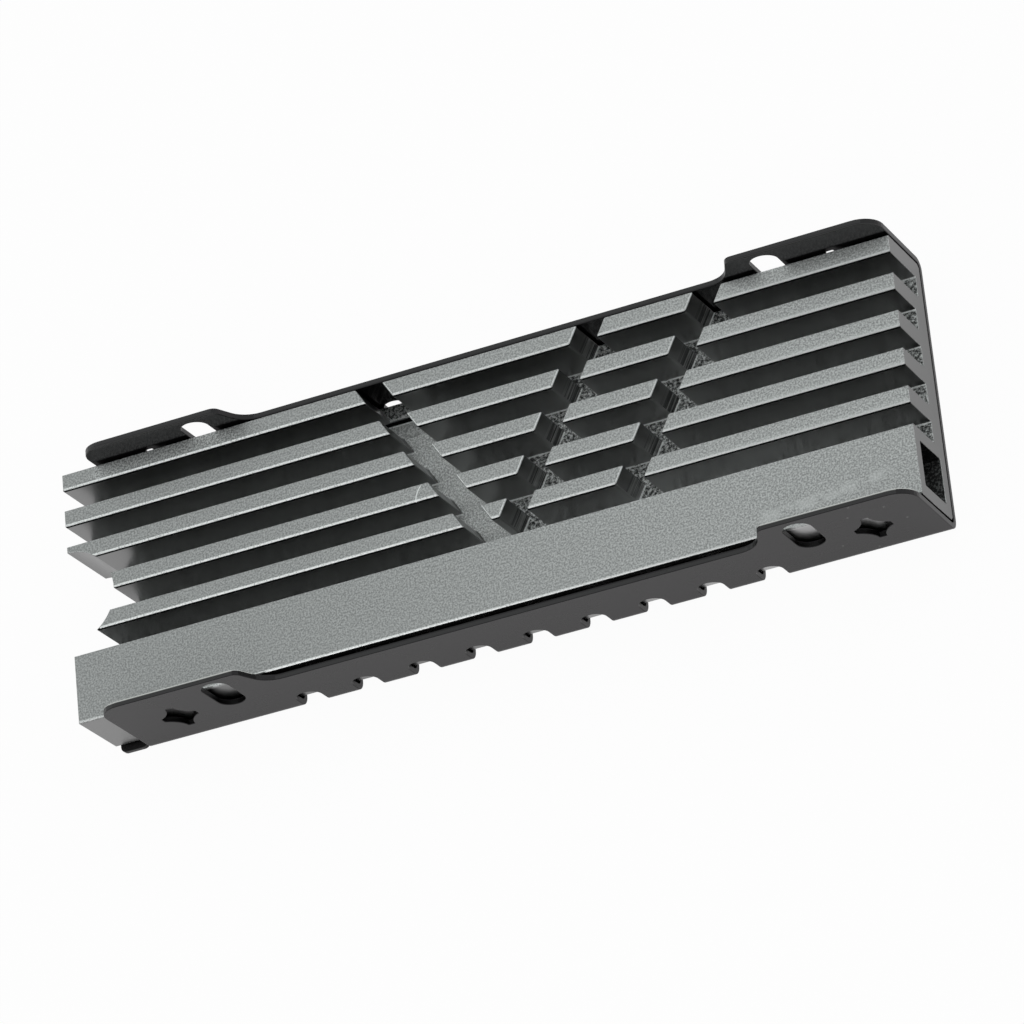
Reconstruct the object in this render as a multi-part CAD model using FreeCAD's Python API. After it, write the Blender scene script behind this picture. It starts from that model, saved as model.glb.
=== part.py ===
import FreeCAD, Part
import math
import os

# Heat sink for a flat plug-in drive: a finned aluminium body that sits in a folded steel tray.
# Millimetres. X runs along the length, Y across the width, Z up.
# The origin is the centre of the half-round screw notch, at the tray's underside.

# Driving dimensions of the body, an aluminium extrusion.
body_length = 76.0
body_width = 22.8
body_height = 6.65
fin_count = 5
fin_thickness = 1.5
floor_height = 2.1
deep_floor_height = 1.1
edge_round = 0.13
root_round = 0.2
underside_chamfer = 0.3

# The hollow rail along the near side.
rail_width = 6.1
rail_wall = 1.1
channel_round = 0.2

# The slanted slots that are milled through the fins.
cut_width = 2.15
cut_angle = 30.0
first_cut_x = 35.8
second_cut_x = 43.0
third_cut_x = 53.45

# The notch for the drive's screw.
notch_radius = 4.15
tray_notch_clearance = 0.35

# The thermal film under the body.
film_thickness = 0.2
film_edge_margin = 2.2
film_end_margin = 2.0

# Driving dimensions of the tray, one folded steel sheet.
sheet = 0.5
bend_inside_radius = 0.5
side_gap = 0.2
wall_start = 3.08
low_wall_height = 7.0
lug_height = 10.2
lug_top_length = 13.1
lug_lean = 22.0
lug_outer_round = 2.0
lug_inner_round = 0.75
lug_foot_round = 2.2

# Windows in the lugs: how far in from the inner end of the lug's top edge, and how far below it.
window_inset = 2.74
window_width = 2.4
window_low_end = 4.47
window_top_margin = 0.58

# Star-shaped holes in the lugs, measured from the end of each wall.
star_from_end = 5.2
star_centre_height = 5.0
star_half_width = 1.58
star_half_height = 2.1
star_tip_width = 0.6
star_waist = 0.47

# Vent slots that wrap around each fold.
vent_count = 9
vent_pitch = 5.215
last_vent_from_end = 15.43
vent_width = 2.25
vent_rise = 3.1
vent_reach = 2.6

# The flat ears at the notch end of the tray.
ear_start = 0.2
ear_gap = 0.23
ear_inset = 0.22
ear_near_round = 0.6
ear_far_round = 0.5

# Sizes that follow from the values above.
through = 5.0
half_width = body_width / 2
body_bottom = sheet + film_thickness
body_top = body_bottom + body_height
fin_pitch = (body_width - rail_width) / fin_count
rail_far_face = -half_width + rail_width
tray_inside = half_width + side_gap
tray_outside = tray_inside + sheet
bend_outside_radius = bend_inside_radius + sheet
fold_line = tray_inside - bend_inside_radius
ear_side = tray_outside - ear_inset
tray_end = body_length
left_window_x = wall_start + lug_top_length - window_inset
right_window_x = tray_end - lug_top_length + window_inset


def point_yz(y, z):
    return FreeCAD.Vector(0, y, z)


def point_xz(x, z):
    return FreeCAD.Vector(x, 0, z)


def point_xy(x, y):
    return FreeCAD.Vector(x, y, 0)


def rounded_face(corners, place):
    """A flat face from corners (u, v, radius), each rounded by an arc that touches both of its sides."""
    edges = []
    last_end = None
    first_start = None
    for index, (u, v, radius) in enumerate(corners):
        corner = place(u, v)
        before = place(*corners[index - 1][:2])
        after = place(*corners[(index + 1) % len(corners)][:2])
        towards_before = (before - corner).normalize()
        towards_after = (after - corner).normalize()
        start, end = corner, corner
        if radius > 0:
            half_angle = towards_before.getAngle(towards_after) / 2
            tangent = radius / math.tan(half_angle)
            start = corner + towards_before * tangent
            end = corner + towards_after * tangent
            inwards = (towards_before + towards_after).normalize()
            middle = corner + inwards * (radius / math.sin(half_angle) - radius)
        if last_end is None:
            first_start = start
        elif start.distanceToPoint(last_end) > 1e-6:
            edges.append(Part.makeLine(last_end, start))
        if radius > 0:
            edges.append(Part.Arc(start, middle, end).toShape())
        last_end = end
    edges.append(Part.makeLine(last_end, first_start))
    return Part.Face(Part.Wire(edges))


def floor_of_gap(gap):
    """Height of the floor in one gap between fins. The gap next to the last fin is deeper."""
    if gap == fin_count - 1:
        return body_bottom + deep_floor_height
    return body_bottom + floor_height


def extrusion_corners():
    """Cross-section of the body, from the near bottom corner over the underside and back over the fins."""
    corners = [
        (-half_width + underside_chamfer, body_bottom, 0),
        (half_width - underside_chamfer, body_bottom, 0),
        (half_width, body_bottom + underside_chamfer, 0),
    ]
    for gap in reversed(range(fin_count)):
        fin_far_face = rail_far_face + (gap + 1) * fin_pitch
        fin_near_face = fin_far_face - fin_thickness
        gap_start = rail_far_face + gap * fin_pitch
        floor = floor_of_gap(gap)
        corners.append((fin_far_face, body_top, edge_round))
        corners.append((fin_near_face, body_top, edge_round))
        corners.append((fin_near_face, floor, root_round))
        corners.append((gap_start, floor, root_round))
    corners.append((rail_far_face, body_top, edge_round))
    corners.append((-half_width, body_top, edge_round))
    corners.append((-half_width, body_bottom + underside_chamfer, 0))
    return corners


def rail_channel():
    """The hollow of the rail, open at both ends."""
    near = -half_width + rail_wall
    far = rail_far_face - rail_wall
    low = body_bottom + rail_wall
    high = body_top - rail_wall
    corners = [
        (near, low, channel_round),
        (far, low, channel_round),
        (far, high, channel_round),
        (near, high, channel_round),
    ]
    return rounded_face(corners, point_yz).extrude(FreeCAD.Vector(body_length, 0, 0))


def slanted_cut(centre_x, lean):
    """One milled slot across all fins, from the rail's face out past the far side. lean is 1 or -1."""
    slope = lean * math.tan(math.radians(cut_angle))
    half_run = cut_width / math.cos(math.radians(cut_angle)) / 2
    near_y = rail_far_face
    far_y = half_width + through
    near_x = centre_x + slope * near_y
    far_x = centre_x + slope * far_y
    corners = [
        (near_x - half_run, near_y, 0),
        (near_x + half_run, near_y, 0),
        (far_x + half_run, far_y, 0),
        (far_x - half_run, far_y, 0),
    ]
    prism = rounded_face(corners, point_xy).extrude(FreeCAD.Vector(0, 0, body_height + through))
    prism.translate(FreeCAD.Vector(0, 0, body_bottom + floor_height))
    return prism


def screw_notch(radius):
    """A round cutter at the origin, through every layer."""
    base = FreeCAD.Vector(0, 0, -through)
    return Part.makeCylinder(radius, body_top + 2 * through, base)


def heat_sink_body():
    profile = rounded_face(extrusion_corners(), point_yz)
    body = profile.extrude(FreeCAD.Vector(body_length, 0, 0))
    body = body.cut(rail_channel())
    body = body.cut(slanted_cut(first_cut_x, -1))
    body = body.cut(slanted_cut(second_cut_x, 1))
    body = body.cut(slanted_cut(third_cut_x, 1))
    return body.cut(screw_notch(notch_radius))


def thermal_film():
    """A thin sheet between the body's underside and the tray, clear of the notch and the vents."""
    start = notch_radius + film_end_margin
    length = body_length - film_end_margin - start
    width = body_width - 2 * film_edge_margin
    corner = FreeCAD.Vector(start, -width / 2, sheet)
    return Part.makeBox(length, width, film_thickness, corner)


def folded_channel():
    """The bent sheet as a plain U, with walls as tall as the lugs."""
    corners = [
        (-tray_outside, 0, bend_outside_radius),
        (tray_outside, 0, bend_outside_radius),
        (tray_outside, lug_height, 0),
        (tray_inside, lug_height, 0),
        (tray_inside, sheet, bend_inside_radius),
        (-tray_inside, sheet, bend_inside_radius),
        (-tray_inside, lug_height, 0),
        (-tray_outside, lug_height, 0),
    ]
    channel = rounded_face(corners, point_yz).extrude(FreeCAD.Vector(tray_end - wall_start, 0, 0))
    channel.translate(FreeCAD.Vector(wall_start, 0, 0))
    return channel


def across_both_walls(face):
    """A side-view face made into a cutter that passes through both walls."""
    cutter = face.extrude(FreeCAD.Vector(0, 2 * (tray_outside + through), 0))
    cutter.translate(FreeCAD.Vector(0, -tray_outside - through, 0))
    return cutter


def wall_silhouette():
    """Side view of the tray: a tall lug at each end and a low wall between them."""
    run = (lug_height - low_wall_height) * math.tan(math.radians(lug_lean))
    left_top = wall_start + lug_top_length
    right_top = tray_end - lug_top_length
    corners = [
        (wall_start, -through, 0),
        (tray_end, -through, 0),
        (tray_end, lug_height, lug_outer_round),
        (right_top, lug_height, lug_inner_round),
        (right_top - run, low_wall_height, lug_foot_round),
        (left_top + run, low_wall_height, lug_foot_round),
        (left_top, lug_height, lug_inner_round),
        (wall_start, lug_height, lug_outer_round),
    ]
    return across_both_walls(rounded_face(corners, point_xz))


def lug_window(centre_x):
    """A tall round-ended window through both walls."""
    half_run = window_width / 2
    low = window_low_end
    high = lug_height - window_top_margin
    nearly_half = half_run * 0.999
    corners = [
        (centre_x - half_run, low, nearly_half),
        (centre_x + half_run, low, nearly_half),
        (centre_x + half_run, high, nearly_half),
        (centre_x - half_run, high, nearly_half),
    ]
    return across_both_walls(rounded_face(corners, point_xz))


def star_hole(centre_x):
    """A four-pointed star with blunt tips and hollow sides, through both walls."""
    half_tip = star_tip_width / 2
    edges = []
    for quarter in range(4):
        side_x = 1 if quarter in (0, 3) else -1
        side_z = 1 if quarter in (0, 1) else -1
        beside = point_xz(centre_x + side_x * star_half_width, star_centre_height + side_z * half_tip)
        above = point_xz(centre_x + side_x * half_tip, star_centre_height + side_z * star_half_height)
        waist_x = centre_x + side_x * star_half_width * star_waist
        waist = point_xz(waist_x, star_centre_height + side_z * star_half_height * star_waist)
        edges.append(Part.Arc(beside, waist, above).toShape())
    for side in (-1, 1):
        tip_x = centre_x + side * star_half_width
        low_tip = point_xz(tip_x, star_centre_height - half_tip)
        high_tip = point_xz(tip_x, star_centre_height + half_tip)
        edges.append(Part.makeLine(low_tip, high_tip))
        tip_z = star_centre_height + side * star_half_height
        left_tip = point_xz(centre_x - half_tip, tip_z)
        right_tip = point_xz(centre_x + half_tip, tip_z)
        edges.append(Part.makeLine(left_tip, right_tip))
    outline = Part.Wire(Part.sortEdges(edges)[0])
    return across_both_walls(Part.Face(outline))


def vent_slot(centre_x):
    """One slot that wraps around both folds: a part in the wall and a part in the base."""
    half_run = vent_width / 2
    nearly_half = half_run * 0.999
    wall_corners = [
        (centre_x - half_run, -through, 0),
        (centre_x + half_run, -through, 0),
        (centre_x + half_run, vent_rise, nearly_half),
        (centre_x - half_run, vent_rise, nearly_half),
    ]
    wall_part = across_both_walls(rounded_face(wall_corners, point_xz))
    inner_y = fold_line
    keep_base = Part.makeBox(2 * vent_width, 2 * inner_y, 4 * through)
    keep_base.translate(FreeCAD.Vector(centre_x - vent_width, -inner_y, -2 * through))
    slot = wall_part.cut(keep_base)
    for side in (-1, 1):
        base_corners = [
            (centre_x - half_run, side * (tray_outside + through), 0),
            (centre_x + half_run, side * (tray_outside + through), 0),
            (centre_x + half_run, side * (tray_outside - vent_reach), nearly_half),
            (centre_x - half_run, side * (tray_outside - vent_reach), nearly_half),
        ]
        base_part = rounded_face(base_corners, point_xy).extrude(FreeCAD.Vector(0, 0, through + bend_outside_radius))
        base_part.translate(FreeCAD.Vector(0, 0, -through))
        slot = slot.fuse(base_part)
    return slot


def base_tongue():
    """The flat end of the base beyond the walls, with an ear on each side."""
    ear_end = wall_start - ear_gap
    corners = [
        (ear_start, -ear_side, ear_far_round),
        (ear_end, -ear_side, ear_near_round),
        (ear_end, -fold_line, 0),
        (wall_start + sheet, -fold_line, 0),
        (wall_start + sheet, fold_line, 0),
        (ear_end, fold_line, 0),
        (ear_end, ear_side, ear_near_round),
        (ear_start, ear_side, ear_far_round),
    ]
    return rounded_face(corners, point_xy).extrude(FreeCAD.Vector(0, 0, sheet))


def tray():
    folded = folded_channel().common(wall_silhouette())
    folded = folded.fuse(base_tongue())
    for window_x in (left_window_x, right_window_x):
        folded = folded.cut(lug_window(window_x))
    for star_x in (wall_start + star_from_end, tray_end - star_from_end):
        folded = folded.cut(star_hole(star_x))
    for number in range(vent_count):
        vent_x = tray_end - last_vent_from_end - number * vent_pitch
        folded = folded.cut(vent_slot(vent_x))
    folded = folded.cut(screw_notch(notch_radius + tray_notch_clearance))
    return folded.removeSplitter()


def export(shape, node):
    solids = shape.Solids
    piece = solids[0] if len(solids) == 1 else Part.makeCompound(solids)
    piece.exportStep(os.path.join("parts", node + ".step"))


os.makedirs("parts", exist_ok=True)
export(heat_sink_body(), "heat_sink_body")
export(thermal_film(), "thermal_film")
export(tray(), "tray")
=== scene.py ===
# %% [markdown]
# # A finned heat sink in a folded steel tray
#
# The object is a small heat sink for a flat plug-in drive. It has two parts that show:
# a grey blasted aluminium body with five fins, a hollow rail and three slanted slots,
# and a thin black steel tray with tall lugs that stands round it. A thin film between
# them is hidden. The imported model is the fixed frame: every piece below is made in
# metres in that frame.

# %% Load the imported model
import math

import bmesh
import bpy
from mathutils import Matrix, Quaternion, Vector


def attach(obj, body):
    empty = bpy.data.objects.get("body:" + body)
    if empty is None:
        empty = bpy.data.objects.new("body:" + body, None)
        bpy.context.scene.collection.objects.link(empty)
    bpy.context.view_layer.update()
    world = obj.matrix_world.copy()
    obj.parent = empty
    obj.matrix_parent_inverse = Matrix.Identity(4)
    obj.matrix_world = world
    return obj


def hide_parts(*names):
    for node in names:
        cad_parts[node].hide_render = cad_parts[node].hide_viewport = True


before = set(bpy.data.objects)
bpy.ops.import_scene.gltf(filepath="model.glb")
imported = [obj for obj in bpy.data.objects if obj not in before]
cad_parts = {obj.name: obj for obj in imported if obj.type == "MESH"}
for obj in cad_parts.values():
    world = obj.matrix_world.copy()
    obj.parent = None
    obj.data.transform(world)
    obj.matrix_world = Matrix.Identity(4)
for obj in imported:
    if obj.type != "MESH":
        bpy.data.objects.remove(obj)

scene = bpy.context.scene
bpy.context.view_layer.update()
mm = 0.001


# %% [markdown]
# ## The camera
#
# A long lens looks down at the sink from the right, and it is rolled, so that the sink
# runs uphill across the picture. A camera can be placed by eye, by a matrix, or by a
# target, two angles and a roll. The last way is used here, because each number can be
# read and changed alone. The angles were worked out from straight edges of the object.

# %% Camera
camera_target = Vector((39.533 * mm, -1.711 * mm, 4.0 * mm))
camera_distance = 474.034 * mm
camera_azimuth = 41.545
camera_elevation = 57.245
camera_roll = -52.342
camera_lens = 203.301


def aim(thing, azimuth, elevation, distance, roll=0.0):
    """Turns a camera or lamp to the target. Azimuth 0 looks along +Y, and 90 along -X."""
    turn, rise = math.radians(azimuth), math.radians(elevation)
    outwards = Vector((
        math.sin(turn) * math.cos(rise),
        -math.cos(turn) * math.cos(rise),
        math.sin(rise),
    ))
    level_turn = (-outwards).to_track_quat("-Z", "Y")
    thing.rotation_mode = "QUATERNION"
    thing.rotation_quaternion = level_turn @ Quaternion((0, 0, 1), math.radians(roll))
    thing.location = camera_target + outwards * distance
    scene.collection.objects.link(thing)
    print(thing.name, "at", [round(value, 4) for value in thing.location])


camera_data = bpy.data.cameras.new("studio_camera")
camera_data.sensor_width = 36.0
camera_data.lens = camera_lens
camera_data.clip_start = 0.02
camera_data.clip_end = 20.0
camera = bpy.data.objects.new("studio_camera", camera_data)
aim(camera, camera_azimuth, camera_elevation, camera_distance, camera_roll)
scene.camera = camera

# %% [markdown]
# ## Small helpers for node trees
#
# Both materials and Geometry Nodes are trees of nodes. One helper that adds a node,
# sets it and links it keeps every tree short. A value that is a socket becomes a link,
# and any other value is set on the input.

# %% Node helpers
def node(tree, kind, inputs=None, **settings):
    made = tree.nodes.new(kind)
    for name, value in settings.items():
        setattr(made, name, value)
    for name, value in (inputs or {}).items():
        values = value if isinstance(value, list) else [value]
        for one in values:
            if isinstance(one, bpy.types.NodeSocket):
                tree.links.new(one, made.inputs[name])
            else:
                made.inputs[name].default_value = one
    return made


def maths(tree, operation, *values):
    inputs = dict(enumerate(values))
    return node(tree, "ShaderNodeMath", inputs, operation=operation).outputs[0]


def ramp(tree, value, low, high):
    """0 at low and 1 at high, with a smooth step between. Low may be the larger one."""
    return node(
        tree, "ShaderNodeMapRange",
        {"Value": value, "From Min": low, "From Max": high},
        interpolation_type="SMOOTHSTEP",
    ).outputs["Result"]


def between(tree, share, start, end):
    """The number that lies this share of the way from start to end."""
    return maths(tree, "MULTIPLY_ADD", share, end - start, start)


def mix_colour(tree, factor, first, second):
    mixer = node(tree, "ShaderNodeMix", data_type="RGBA")
    for index, value in ((0, factor), (6, first), (7, second)):
        if isinstance(value, bpy.types.NodeSocket):
            tree.links.new(value, mixer.inputs[index])
        else:
            mixer.inputs[index].default_value = value
    return mixer.outputs[2]


def new_material(name):
    material = bpy.data.materials.new(name)
    material.use_nodes = True
    material.node_tree.nodes.clear()
    return material, material.node_tree


def finish_material(tree, shader):
    node(tree, "ShaderNodeOutputMaterial", {"Surface": shader})


print("node helpers are ready")

# %% [markdown]
# ## Studio: the light
#
# The sink lies in soft light. The world gives that light from all round, with more from
# behind than from the front, so that upright faces stay darker than the tops. The camera
# itself sees plain white. One low soft lamp draws a thin bright line along each edge.

# %% World and lamp
scene.view_settings.view_transform = "Standard"
front_light, back_light = 0.47, 0.92
front_depth, back_depth = -0.6, 0.3
world = bpy.data.worlds.new("studio_world")
scene.world = world
world.use_nodes = True
tree = world.node_tree
direction = node(tree, "ShaderNodeTexCoord").outputs["Object"]
depth = node(tree, "ShaderNodeSeparateXYZ", {0: direction}).outputs["Y"]
from_behind = ramp(tree, depth, front_depth, back_depth)
light = between(tree, from_behind, front_light, back_light)
seen = node(tree, "ShaderNodeLightPath").outputs["Is Camera Ray"]
light = maths(tree, "MAXIMUM", light, seen)
tint = mix_colour(tree, seen, (0.945, 1.0, 0.985, 1.0), (1.0, 1.0, 1.0, 1.0))
tree.links.new(light, tree.nodes["Background"].inputs["Strength"])
tree.links.new(tint, tree.nodes["Background"].inputs["Color"])

lamp_data = bpy.data.lights.new("edge_lamp", "AREA")
lamp_data.shape = "DISK"
lamp_data.size = 0.3
lamp_data.energy = 0.35
lamp = bpy.data.objects.new("edge_lamp", lamp_data)
aim(lamp, azimuth=-25.0, elevation=30.0, distance=0.6)

# %% [markdown]
# ## Studio: the table
#
# The table is white and matt. It shows in the ends of the fins and in the black wall. A
# photographer lights such a table until it is as white as the background. Here it is
# mixed with plain white, almost fully as the camera sees it, so that only a soft trace of
# shadow remains, and by about half as a glossy surface mirrors it.

# %% White table
table_radius = 1.5
table_middle = (38.0 * mm, 0.0, -0.02 * mm)
camera_share, gloss_share = 0.96, 0.47
table_mesh = bpy.data.meshes.new("table_top")
builder = bmesh.new()
bmesh.ops.create_circle(builder, cap_ends=True, segments=96, radius=table_radius)
bmesh.ops.translate(builder, verts=builder.verts, vec=table_middle)
builder.to_mesh(table_mesh)
builder.free()
floor = bpy.data.objects.new("table_top", table_mesh)
scene.collection.objects.link(floor)

table_paint, tree = new_material("white_table")
path = node(tree, "ShaderNodeLightPath").outputs
painted = node(tree, "ShaderNodeBsdfDiffuse", {"Color": (0.83, 0.785, 0.8, 1.0)})
plain_white = node(
    tree, "ShaderNodeEmission", {"Color": (1.0, 1.0, 1.0, 1.0), "Strength": 1.0})
share = maths(tree, "MULTIPLY", path["Is Glossy Ray"], gloss_share)
share = maths(tree, "MULTIPLY_ADD", path["Is Camera Ray"], camera_share, share)
finish_material(tree, node(
    tree, "ShaderNodeMixShader",
    {0: share, 1: painted.outputs[0], 2: plain_white.outputs[0]},
).outputs[0])
table_mesh.materials.append(table_paint)
print("table of radius", table_radius, "m")

# %% [markdown]
# ## Sizes of the body
#
# The finish and the shape share these sizes, because the cutter's lines, the painted
# highlights at the feet of walls and the worn edges with their painted highlights have to
# lie where the slots and the fins are. So the sizes come first.
# X runs along the fins, Y across them and Z up, and the notch is at the origin. A slanted
# slot is given by the X where its middle line crosses Y = 0, and by the way it leans.

# %% Sizes of the body
body_length = 76.0 * mm
body_width = 22.8 * mm
body_bottom = 0.7 * mm
body_height = 6.65 * mm
body_top = body_bottom + body_height
floor_height = 2.1 * mm
deep_floor_height = 1.1 * mm
wall_foot = body_bottom + floor_height
deep_wall_foot = body_bottom + deep_floor_height
rail_width = 6.1 * mm
rail_wall = 1.1 * mm
rail_far_face = -body_width / 2 + rail_width
fin_count = 5
fin_thickness = 1.5 * mm
fin_pitch = (body_width - rail_width) / fin_count
gap_width = fin_pitch - fin_thickness
first_fin_side = rail_far_face + gap_width
last_fin_side = first_fin_side + (fin_count - 1) * fin_pitch
cut_angle = math.radians(30.0)
cut_width = 2.15 * mm
cut_starts = ((35.8 * mm, -1), (43.0 * mm, 1), (53.45 * mm, 1))
underside_chamfer = 0.3 * mm
notch_radius = 4.15 * mm
over = 5.0 * mm
print("fins:", fin_count, "at a pitch of", round(fin_pitch / mm, 2), "mm")

# %% [markdown]
# ## Helpers for materials
#
# A finish is laid on in layers, and each layer has a mask: 1 where it shows and 0
# elsewhere. Masks are multiplied to narrow a layer down, and inverted to leave a place
# out. They come from noise, from a place on the piece, or from a named attribute that
# is written on the faces when the piece is built.

# %% Helpers for materials
def grey(level):
    return (level, level, level, 1.0)


def product(tree, *values):
    result = values[0]
    for value in values[1:]:
        result = maths(tree, "MULTIPLY", result, value)
    return result


def inverse(tree, mask):
    return maths(tree, "SUBTRACT", 1.0, mask)


def attribute(tree, name):
    return node(tree, "ShaderNodeAttribute", attribute_name=name).outputs["Fac"]


def noise(tree, place, per_metre, detail=2.0, rough=0.6):
    """Noise with so many grains in a metre."""
    return node(
        tree, "ShaderNodeTexNoise",
        {"Vector": place, "Scale": per_metre, "Detail": detail, "Roughness": rough},
    ).outputs["Fac"]


def distance(tree, place, spot):
    return node(
        tree, "ShaderNodeVectorMath", {0: place, 1: spot}, operation="DISTANCE",
    ).outputs["Value"]


def bump(tree, height, strength, depth):
    return node(
        tree, "ShaderNodeBump", {"Height": height, "Strength": strength, "Distance": depth},
    ).outputs[0]


def finish_principled(tree, inputs):
    finish_material(tree, node(tree, "ShaderNodeBsdfPrincipled", inputs).outputs[0])


print("a middle grey is", grey(0.5))

# %% [markdown]
# ## Blasted aluminium: the tops and the sides
#
# The body was blasted with fine sand and then anodised grey. Close up, its tops are a
# field of tiny dimples, one or two tenths of a millimetre across, so that some catch the
# light and some don't. The sides of the fins are smooth, as the die drew them, and the
# blast hardly reached them. Noise on Object coordinates gives the dimples here. A photo
# texture would show them too, but noise stays sharp at any distance and never repeats.

# %% Aluminium: places, grain and masks from the faces
aluminium, tree = new_material("blasted_aluminium")
place = node(tree, "ShaderNodeTexCoord").outputs["Object"]
along, across, up = node(tree, "ShaderNodeSeparateXYZ", {0: place}).outputs
grains_per_metre = 6400.0
grain = noise(tree, place, grains_per_metre)
coarse = noise(tree, place, 4600.0)
crumb_noise = noise(tree, place, 3600.0, 3.0, 0.75)
patches = noise(tree, place, 420.0, 3.0)
wear_and_highlight = attribute(tree, "edge")
blasted = attribute(tree, "blasted")
rough_floor = attribute(tree, "rough_floor")
cut_wall = attribute(tree, "cut_wall")
towards_end = ramp(tree, along, 15.0 * mm, body_length)
layers = []
print("grain of", round(1.0 / grains_per_metre / mm, 2), "mm")

# %% Aluminium: tops and sides
top_grey = mix_colour(tree, towards_end, grey(0.34), grey(0.47))
dimples = mix_colour(tree, ramp(tree, grain, 0.36, 0.66), grey(0.2), grey(0.66))
dimple_share = product(tree, between(tree, towards_end, 0.45, 0.62), blasted)
blotches = product(tree, ramp(tree, patches, 0.35, 0.7), blasted, 0.12)

# Painted reflection: the sides get lighter towards the right, and most so beside the lit
# rail.
painted_reflection_run = product(
    tree, ramp(tree, along, 28.0 * mm, 62.0 * mm), inverse(tree, cut_wall),
    between(tree, ramp(tree, along, 60.0 * mm, body_length), 1.0, 0.4))
beside_rail = ramp(tree, across, -2.6 * mm, -3.3 * mm)
painted_reflection_side = mix_colour(tree, beside_rail, grey(0.36), grey(0.58))
sides = mix_colour(tree, painted_reflection_run, grey(0.275), painted_reflection_side)

# Painted shade: the last millimetre of each side stays dark, and most so at its foot.
painted_shade_at_end = product(
    tree, ramp(tree, along, body_length - 1.6 * mm, body_length - 0.2 * mm),
    between(tree, ramp(tree, up, wall_foot + 1.6 * mm, wall_foot + 0.4 * mm), 0.45, 0.95),
    between(tree, ramp(tree, across, 8.0 * mm, 9.5 * mm), 1.0, 0.3))
layers += [
    (painted_shade_at_end, grey(0.02)),
    (blasted, top_grey),
    # Painted shade beside the saw cut's own finish: the right end faces are darker than the
    # left ends.
    (attribute(tree, "sawn"), grey(0.17)),
    (dimple_share, dimples),
    (blotches, grey(0.42)),
]

# Painted highlight: at the right ends of the fins the grain gets paler towards the near
# edge. WRAP folds Y into one pitch, so that one mask serves every fin.
in_pitch = maths(tree, "WRAP", across, rail_far_face + fin_pitch, rail_far_face)
painted_highlight_edge = product(
    tree, ramp(tree, in_pitch, first_fin_side + 0.6 * mm, first_fin_side + 0.2 * mm),
    ramp(tree, along, 50.0 * mm, 66.0 * mm),
    ramp(tree, across, rail_far_face, first_fin_side), blasted, 0.35)
layers.append((painted_highlight_edge, grey(0.66)))
print("tops and sides:", len(layers), "layers")

# %% [markdown]
# ## Blasted aluminium: the floors
#
# The cutter tore the floors of gaps and slots, so they are speckled and pitted. Only the
# first slanted slot was cut cleanly enough to be blasted evenly, up to the last gap; past it
# its floor is pitted and painted dark as shade from the far wall. A slanted strip is simple
# to mask: X minus the lean of the cut is the same all along its middle line. The strip ends
# at the slot's right wall and reaches a little past the left one.

# %% Aluminium: floors
first_cut_x, first_cut_lean = cut_starts[0]
half_cut = cut_width / math.cos(cut_angle) / 2
lean = -first_cut_lean * math.tan(cut_angle)
off_first_cut = maths(
    tree, "SUBTRACT", maths(tree, "MULTIPLY_ADD", across, lean, along), first_cut_x)
first_strip = product(
    tree, ramp(tree, off_first_cut, -half_cut - 1.9 * mm, -half_cut - 1.7 * mm),
    ramp(tree, off_first_cut, half_cut * 1.08, half_cut))
in_first_cut = product(tree, rough_floor, first_strip)
in_others = maths(tree, "SUBTRACT", rough_floor, in_first_cut)
past_last_gap = ramp(tree, across, last_fin_side - 0.2 * mm, last_fin_side)

even_grain = mix_colour(tree, ramp(tree, grain, 0.34, 0.66), grey(0.4), grey(0.9))
pitted_and_shaded = mix_colour(tree, ramp(tree, crumb_noise, 0.4, 0.6), grey(0.03), grey(0.6))
speckles = mix_colour(tree, ramp(tree, crumb_noise, 0.4, 0.56), grey(0.04), grey(0.5))
layers += [
    (product(tree, in_first_cut, inverse(tree, past_last_gap), 0.7), even_grain),
    # Painted shade: past the last gap the first slot's pitted floor is darker.
    (product(tree, in_first_cut, past_last_gap, 0.9), pitted_and_shaded),
    (product(tree, in_others, 0.9), speckles),
]
print("with the floors:", len(layers), "layers")

# %% [markdown]
# ## Blasted aluminium: marks of the cutter
#
# A milling cutter leaves level lines on the walls of a slot. Noise that is stretched
# along X and Y, and fine along Z, gives such lines. The bore of the rail is painted dark as
# shade, and so is the step where the first slot drops into the deeper last gap. Torn metal
# is pale and matt: crumbs on the rough floors. A painted highlight in the same pale matt
# white lies at the feet of some walls.

# %% Aluminium: marks of the cutter
stretched = node(
    tree, "ShaderNodeMapping", {"Vector": place, "Scale": (90.0, 90.0, 4200.0)},
).outputs[0]
lines = noise(tree, stretched, 1.0, 3.0, 0.7)
wall_lines = product(
    tree, cut_wall, ramp(tree, up, wall_foot + 3.2 * mm, wall_foot + 1.6 * mm))
streaks = mix_colour(tree, ramp(tree, lines, 0.42, 0.62), grey(0.08), grey(0.5))
# Painted shade: the rail's bore is darker inside.
bore_grain_shaded = mix_colour(tree, ramp(tree, coarse, 0.46, 0.62), grey(0.05), grey(0.22))
# Painted shade: the step into the deeper last gap is black.
painted_shade_step = product(
    tree, first_strip, inverse(tree, rough_floor),
    ramp(tree, across, last_fin_side - 0.3 * mm, last_fin_side - 0.1 * mm),
    ramp(tree, across, last_fin_side + 0.1 * mm, last_fin_side + 0.05 * mm),
    ramp(tree, up, wall_foot - 0.16 * mm, wall_foot - 0.22 * mm),
    ramp(tree, up, deep_wall_foot + 0.15 * mm, deep_wall_foot + 0.22 * mm))
crumbs = product(tree, in_others, ramp(tree, crumb_noise, 0.53, 0.6), 0.6)
# Painted highlight: a pale matt line at the feet of the walls that face the near side.
burr = product(tree, attribute(tree, "burr"), ramp(tree, coarse, 0.3, 0.42))
crumbs_and_foot_highlight = maths(tree, "MAXIMUM", burr, crumbs)
layers += [
    (wall_lines, streaks),
    (attribute(tree, "bore"), bore_grain_shaded),
    (painted_shade_step, grey(0.005)),
    (crumbs_and_foot_highlight, grey(1.0)),
]
print("with the cutter's marks:", len(layers), "layers")
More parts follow.
